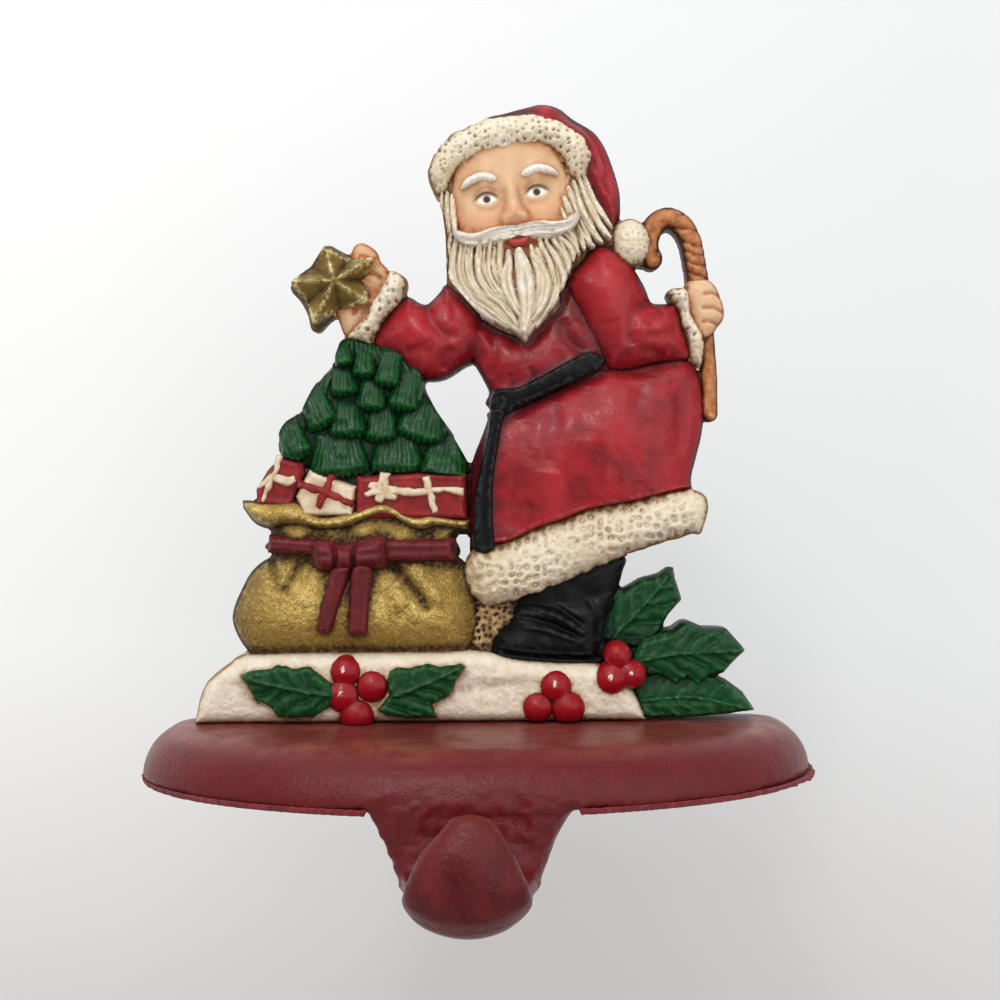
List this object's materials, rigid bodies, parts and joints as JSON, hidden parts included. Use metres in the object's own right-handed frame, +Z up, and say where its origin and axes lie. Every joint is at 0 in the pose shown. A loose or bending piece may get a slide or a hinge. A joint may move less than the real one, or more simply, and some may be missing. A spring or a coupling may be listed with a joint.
{
  "type": "mantel stocking holder",
  "caption": "Painted cast-iron stocking holder: a half-oval weighted base with a front hook below the shelf edge and a winter relief figure standing along its back.",
  "frame": {"origin": "middle of the felt's underside, on the plane that rests on the shelf, halfway along the base's width and depth", "axes": "+Z up out of the shelf, the figure's front and the hook face -Y, +X to the right as seen from the front"},
  "size_m": [0.1506, 0.0838, 0.1711],
  "materials": {
    "base_paint": "satin burgundy paint over rough casting",
    "figure_paint": "hand-painted with an antique wash, satin",
    "felt": "pressed felt",
    "screw_steel": "zinc plated"
  },
  "bodies": {
    "root": {"base_with_hook": "base_paint", "figure_relief": "figure_paint", "felt_pad": "felt", "fixing_screws": "screw_steel"}
  },
  "joints": []
}
